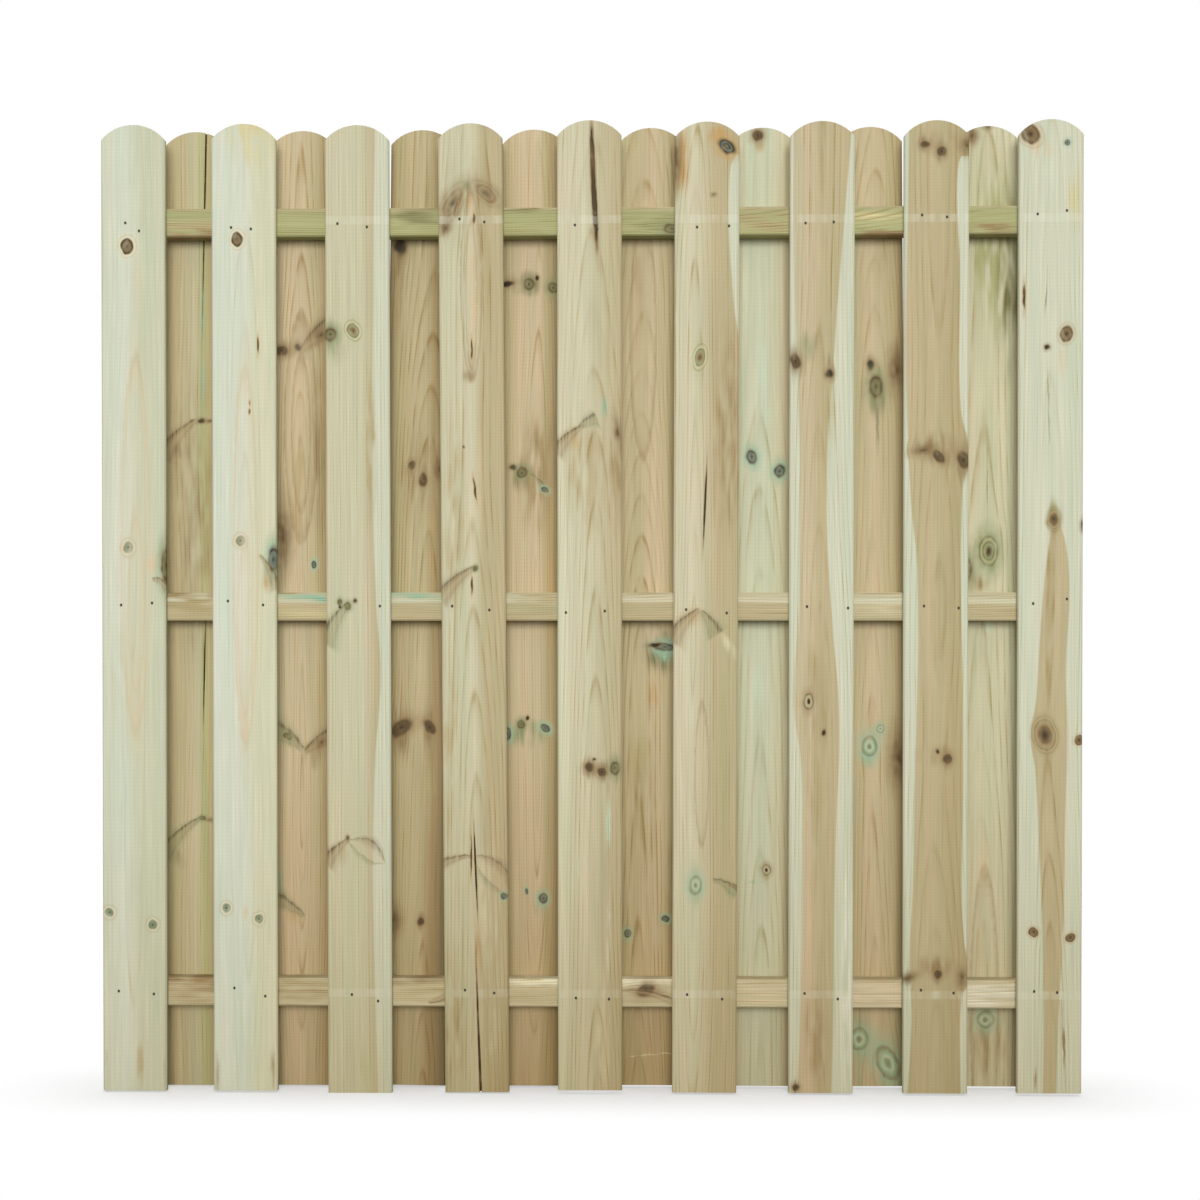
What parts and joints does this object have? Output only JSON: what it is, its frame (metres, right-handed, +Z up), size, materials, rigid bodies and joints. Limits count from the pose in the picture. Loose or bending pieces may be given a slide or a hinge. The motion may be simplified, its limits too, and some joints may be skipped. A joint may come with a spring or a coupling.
{
  "type": "privacy fence panel",
  "caption": "Double-sided timber fence panel: arch-headed upright boards nailed to both faces of three rails, staggered so that the gaps are covered.",
  "frame": {"origin": "on the ground under the middle of the panel, at the bottom centre of its box", "axes": "+X along the rails to the right seen from the front, the front faces -Y, +Z up"},
  "size_m": [1.8, 0.074, 1.7868],
  "materials": {
    "pine_boards": "planed, pressure-treated",
    "pine_rails": "planed, pressure-treated",
    "nail_steel": "dull, darkened"
  },
  "bodies": {
    "root": {"front_board_1": "pine_boards", "front_board_2": "pine_boards", "front_board_3": "pine_boards", "front_board_4": "pine_boards", "front_board_5": "pine_boards", "front_board_6": "pine_boards", "front_board_7": "pine_boards", "front_board_8": "pine_boards", "front_board_9": "pine_boards", "rear_board_1": "pine_boards", "rear_board_2": "pine_boards", "rear_board_3": "pine_boards", "rear_board_4": "pine_boards", "rear_board_5": "pine_boards", "rear_board_6": "pine_boards", "rear_board_7": "pine_boards", "rear_board_8": "pine_boards", "top_rail": "pine_rails", "middle_rail": "pine_rails", "bottom_rail": "pine_rails", "front_nails_top": "nail_steel", "front_nails_middle": "nail_steel", "front_nails_bottom": "nail_steel", "rear_nails_top": "nail_steel", "rear_nails_middle": "nail_steel", "rear_nails_bottom": "nail_steel"}
  },
  "joints": []
}
